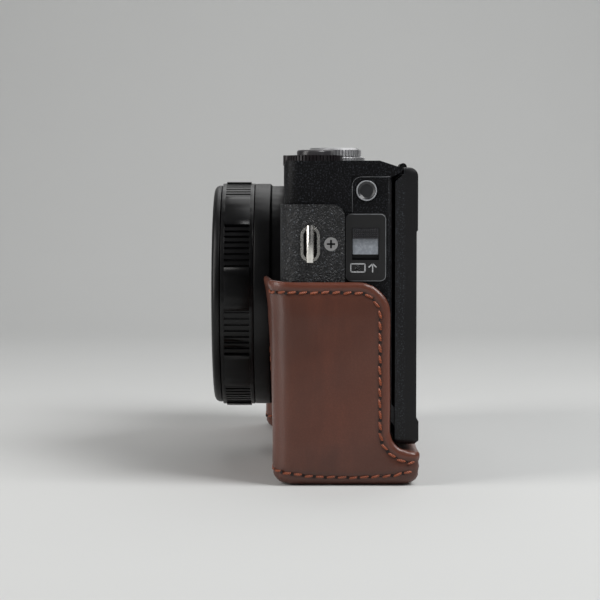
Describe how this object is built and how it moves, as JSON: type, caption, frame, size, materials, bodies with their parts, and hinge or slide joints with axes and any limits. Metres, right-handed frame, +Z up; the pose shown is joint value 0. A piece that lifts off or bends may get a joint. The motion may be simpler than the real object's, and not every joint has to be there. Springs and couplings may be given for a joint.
{
  "type": "compact camera in leather half case",
  "caption": "Compact camera with a lens control ring, telescoping lens, tilting screen, lifting flash and viewfinder, dials and doors, in a stitched leather half case held by a thumb screw.",
  "frame": {"origin": "on the tripod axis, at the underside that the camera rests on", "axes": "+Z up, -Y out of the lens, +Y out of the screen, +X towards the end wall on the user's left"},
  "size_m": [0.1145, 0.0422, 0.0688],
  "materials": {
    "black_paint": "fine-grain semi-gloss black paint",
    "textured_skin": "pebbled grip skin with a faint sheen",
    "black_plastic": "fine moulded black plastic",
    "bezel_plastic": "smooth black plastic with a bright engraved outline",
    "chrome_metal": "polished chrome",
    "screw_steel": "small blackened and bright screws",
    "lens_black": "black anodised lens metal",
    "ring_black": "black anodised knurled ring",
    "satin_alloy": "satin silver alloy with spun lines",
    "dark_button": "dark satin button",
    "pale_switch": "satin grey switch",
    "optical_glass": "coated lens glass",
    "display_glass": "glossy display pane",
    "lamp_glass": "tinted clear window",
    "circuit_board": "green circuit board",
    "chip_black": "moulded chip packages",
    "inner_plastic": "plain inner plastic",
    "inner_metal": "pressed inner metal",
    "cell_wrap": "cell casing",
    "brown_leather": "smooth dark brown leather with orange-tan stitching",
    "case_board": "stiff case board",
    "brass_insert": "threaded insert"
  },
  "bodies": {
    "camera_body": {"front_cover": "black_paint", "top_cover": "black_paint", "rear_cover": "black_plastic", "bottom_plate": "black_paint", "side_panel": "textured_skin", "grip_pads": "textured_skin", "finder_bezel": "bezel_plastic", "strap_lugs": "chrome_metal", "body_screws": "screw_steel", "assist_lamp": "lamp_glass", "chassis": "inner_metal", "tripod_nut": "brass_insert", "main_board": "circuit_board", "board_chips": "chip_black", "image_sensor": "chip_black", "sensor_plate": "inner_metal", "battery_holder": "inner_plastic", "battery": "cell_wrap", "memory_card": "cell_wrap", "flash_capacitor": "cell_wrap", "zoom_motor": "inner_metal", "port_sockets": "screw_steel", "dial_spindle": "screw_steel", "lens_mount": "lens_black", "lens_lip": "lens_black", "lens_housing": "inner_plastic", "rear_element": "optical_glass", "hinge_pins": "screw_steel"},
    "lens_ring": {"control_ring": "ring_black"},
    "first_barrel": {"barrel_outer": "lens_black"},
    "second_barrel": {"barrel_inner": "lens_black", "front_element": "optical_glass"},
    "upper_blade": {"barrier_upper": "inner_plastic"},
    "lower_blade": {"barrier_lower": "inner_plastic"},
    "shutter": {"shutter_button": "dark_button"},
    "zoom_ring": {"zoom_lever": "dark_button"},
    "exposure_wheel": {"exposure_dial": "lens_black"},
    "mode_wheel": {"mode_dial": "satin_alloy"},
    "power_key": {"power_button": "dark_button"},
    "flash_lid": {"flash_head": "black_paint", "flash_window": "lamp_glass"},
    "finder_box": {"finder_housing": "black_paint", "finder_lenses": "optical_glass", "finder_eyepiece": "inner_plastic"},
    "finder_slider": {"finder_switch": "pale_switch"},
    "flash_key": {"flash_release": "dark_button"},
    "thumb_wheel": {"rear_dial": "dark_button"},
    "set_key": {"set_button": "dark_button"},
    "record_key": {"record_button": "dark_button"},
    "play_key": {"play_button": "dark_button"},
    "menu_key": {"menu_button": "dark_button"},
    "screen_arm": {"screen_bracket": "inner_metal"},
    "screen_slab": {"screen_frame": "black_plastic", "screen_glass": "display_glass", "tilt_pins": "screw_steel"},
    "cell_door": {"battery_door": "black_plastic"},
    "socket_door": {"port_door": "black_plastic"},
    "half_case": {"case_shell": "brown_leather", "case_base": "case_board"},
    "thumb_screw": {"case_screw": "satin_alloy"}
  },
  "joints": [
    {"name": "lens_ring_turn", "type": "hinge", "parent": "camera_body", "child": "lens_ring", "pos_m": [0, -0.0207, 0.0355], "axis": [0, -1, 0], "continuous": true},
    {"name": "first_barrel_extend", "type": "slide", "parent": "camera_body", "child": "first_barrel", "axis": [0, -1, 0], "range_m": [0, 0.013]},
    {"name": "second_barrel_extend", "type": "slide", "parent": "first_barrel", "child": "second_barrel", "axis": [0, -1, 0], "range_m": [0, 0.011]},
    {"name": "upper_blade_swing", "type": "hinge", "parent": "second_barrel", "child": "upper_blade", "pos_m": [0.01247, -0.02402, 0.0355], "axis": [0, 1, 0], "range_deg": [0, 38]},
    {"name": "lower_blade_swing", "type": "hinge", "parent": "second_barrel", "child": "lower_blade", "pos_m": [-0.01247, -0.02402, 0.0355], "axis": [0, 1, 0], "range_deg": [0, 38]},
    {"name": "shutter_press", "type": "slide", "parent": "camera_body", "child": "shutter", "axis": [0, 0, -1], "range_m": [0, 0.0008], "stiffness_N_per_m": 400},
    {"name": "zoom_lever_turn", "type": "hinge", "parent": "camera_body", "child": "zoom_ring", "pos_m": [-0.0345, -0.0039, 0.0658], "axis": [0, 0, 1], "range_deg": [-20, 20], "stiffness_Nm_per_rad": 0.01},
    {"name": "exposure_dial_turn", "type": "hinge", "parent": "camera_body", "child": "exposure_wheel", "pos_m": [-0.05, 0.001, 0.0654], "axis": [0, 0, 1], "range_deg": [-108, 108]},
    {"name": "mode_dial_turn", "type": "hinge", "parent": "camera_body", "child": "mode_wheel", "pos_m": [-0.05, 0.001, 0.0679], "axis": [0, 0, 1], "continuous": true},
    {"name": "power_press", "type": "slide", "parent": "camera_body", "child": "power_key", "axis": [0, 0, -1], "range_m": [0, 0.0005], "stiffness_N_per_m": 400},
    {"name": "flash_lift", "type": "hinge", "parent": "camera_body", "child": "flash_lid", "pos_m": [0.001, 0, 0.0625], "axis": [-1, 0, 0], "range_deg": [0, 60]},
    {"name": "finder_lift", "type": "slide", "parent": "camera_body", "child": "finder_box", "axis": [0, 0, -1], "range_m": [-0.0105, 0]},
    {"name": "finder_switch_slide", "type": "slide", "parent": "camera_body", "child": "finder_slider", "axis": [0, 0, -1], "range_m": [0, 0.001], "stiffness_N_per_m": 300},
    {"name": "flash_release_press", "type": "slide", "parent": "camera_body", "child": "flash_key", "axis": [-1, 0, 0], "range_m": [0, 0.0005], "stiffness_N_per_m": 300},
    {"name": "thumb_dial_turn", "type": "hinge", "parent": "camera_body", "child": "thumb_wheel", "pos_m": [-0.0455, 0.0104, 0.026], "axis": [0, 1, 0], "continuous": true},
    {"name": "set_press", "type": "slide", "parent": "camera_body", "child": "set_key", "axis": [0, -1, 0], "range_m": [0, 0.0004], "stiffness_N_per_m": 300},
    {"name": "record_press", "type": "slide", "parent": "camera_body", "child": "record_key", "axis": [0, -1, 0], "range_m": [0, 0.0004], "stiffness_N_per_m": 300},
    {"name": "play_press", "type": "slide", "parent": "camera_body", "child": "play_key", "axis": [0, -1, 0], "range_m": [0, 0.0004], "stiffness_N_per_m": 300},
    {"name": "menu_press", "type": "slide", "parent": "camera_body", "child": "menu_key", "axis": [0, -1, 0], "range_m": [0, 0.0004], "stiffness_N_per_m": 300},
    {"name": "screen_flip", "type": "hinge", "parent": "camera_body", "child": "screen_arm", "pos_m": [0.0093, 0.0134, 0.063], "axis": [1, 0, 0], "range_deg": [0, 180]},
    {"name": "screen_tilt", "type": "hinge", "parent": "screen_arm", "child": "screen_slab", "pos_m": [0.0093, 0.01365, 0.0102], "axis": [1, 0, 0], "range_deg": [-45, 0]},
    {"name": "battery_door_swing", "type": "hinge", "parent": "camera_body", "child": "cell_door", "pos_m": [-0.044, -0.0064, 0.0049], "axis": [-1, 0, 0], "range_deg": [0, 90]},
    {"name": "port_door_swing", "type": "hinge", "parent": "camera_body", "child": "socket_door", "pos_m": [-0.06055, 0.00305, 0.0475], "axis": [0, 0, 1], "range_deg": [0, 95]},
    {"name": "case_slide", "type": "slide", "parent": "camera_body", "child": "half_case", "axis": [0, 0, -1], "range_m": [0, 0.055]},
    {"name": "case_screw_turn", "type": "hinge", "parent": "half_case", "child": "thumb_screw", "pos_m": [0, 0, 0.004], "axis": [0, 0, 1], "continuous": true}
  ],
  "couplings": [
    {"joint": "second_barrel_extend", "follows": "first_barrel_extend", "ratio": 0.84615},
    {"joint": "upper_blade_swing", "follows": "first_barrel_extend", "rad_per_m": 51},
    {"joint": "lower_blade_swing", "follows": "first_barrel_extend", "rad_per_m": 51}
  ]
}
